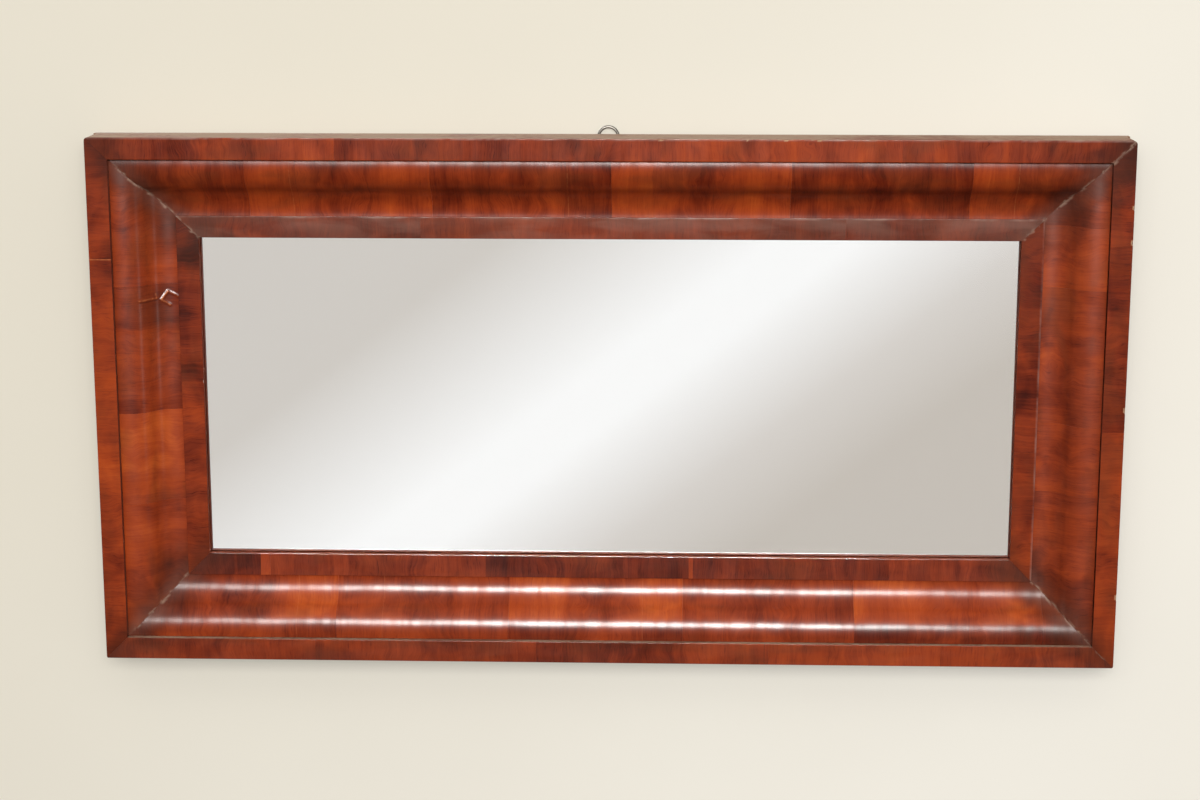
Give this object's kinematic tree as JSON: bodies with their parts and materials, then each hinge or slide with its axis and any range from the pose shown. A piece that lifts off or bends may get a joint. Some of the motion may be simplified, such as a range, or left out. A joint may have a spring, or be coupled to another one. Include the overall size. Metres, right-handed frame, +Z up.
{
  "type": "overmantel mirror",
  "caption": "Landscape overmantel mirror: a silvered plate in a wide ogee frame, mahogany veneer over pine, with flat outer and sight bands, a boarded back and a hanging ring.",
  "frame": {"origin": "middle of the frame's face outline, on the plane of the backboards' back, which lies on the wall", "axes": "+X to the viewer's right, +Y into the wall, +Z up; the mirror faces -Y"},
  "size_m": [1.05, 0.059, 0.5545],
  "materials": {
    "mahogany_veneer": "polished",
    "stained_pine": "stained",
    "old_pine": "bare",
    "board_pine": "bare",
    "hardwood": "bare",
    "plate_glass": "polished",
    "silvering": "mirror",
    "cut_iron": "rusted",
    "hanger_steel": "worn"
  },
  "bodies": {
    "frame": {"top_base_rail": "old_pine", "top_outer_fillet": "stained_pine", "top_ogee_core": "old_pine", "top_sight_fillet": "stained_pine", "top_band_veneer": "mahogany_veneer", "top_ogee_veneer": "mahogany_veneer", "top_sight_veneer": "mahogany_veneer", "bottom_base_rail": "old_pine", "bottom_outer_fillet": "stained_pine", "bottom_ogee_core": "old_pine", "bottom_sight_fillet": "stained_pine", "bottom_band_veneer": "mahogany_veneer", "bottom_ogee_veneer": "mahogany_veneer", "bottom_sight_veneer": "mahogany_veneer", "left_base_rail": "old_pine", "left_outer_fillet": "stained_pine", "left_ogee_core": "old_pine", "left_sight_fillet": "stained_pine", "left_band_veneer": "mahogany_veneer", "left_ogee_veneer": "mahogany_veneer", "left_sight_veneer": "mahogany_veneer", "right_base_rail": "old_pine", "right_outer_fillet": "stained_pine", "right_ogee_core": "old_pine", "right_sight_fillet": "stained_pine", "right_band_veneer": "mahogany_veneer", "right_ogee_veneer": "mahogany_veneer", "right_sight_veneer": "mahogany_veneer", "top_left_mitre_feather": "hardwood", "top_right_mitre_feather": "hardwood", "bottom_left_mitre_feather": "hardwood", "bottom_right_mitre_feather": "hardwood", "mirror_glass": "plate_glass", "silvering": "silvering", "glass_blocks": "old_pine", "upper_backboard": "board_pine", "lower_backboard": "board_pine", "backboard_nails": "cut_iron", "hanger_strap": "hanger_steel", "hanger_screws": "hanger_steel"},
    "ring": {"hanger_ring": "hanger_steel"}
  },
  "joints": [
    {"name": "ring_swing", "type": "hinge", "parent": "frame", "child": "ring", "pos_m": [0, -0.00395, 0.26], "axis": [1, 0, 0], "range_deg": [-175, 5]}
  ]
}
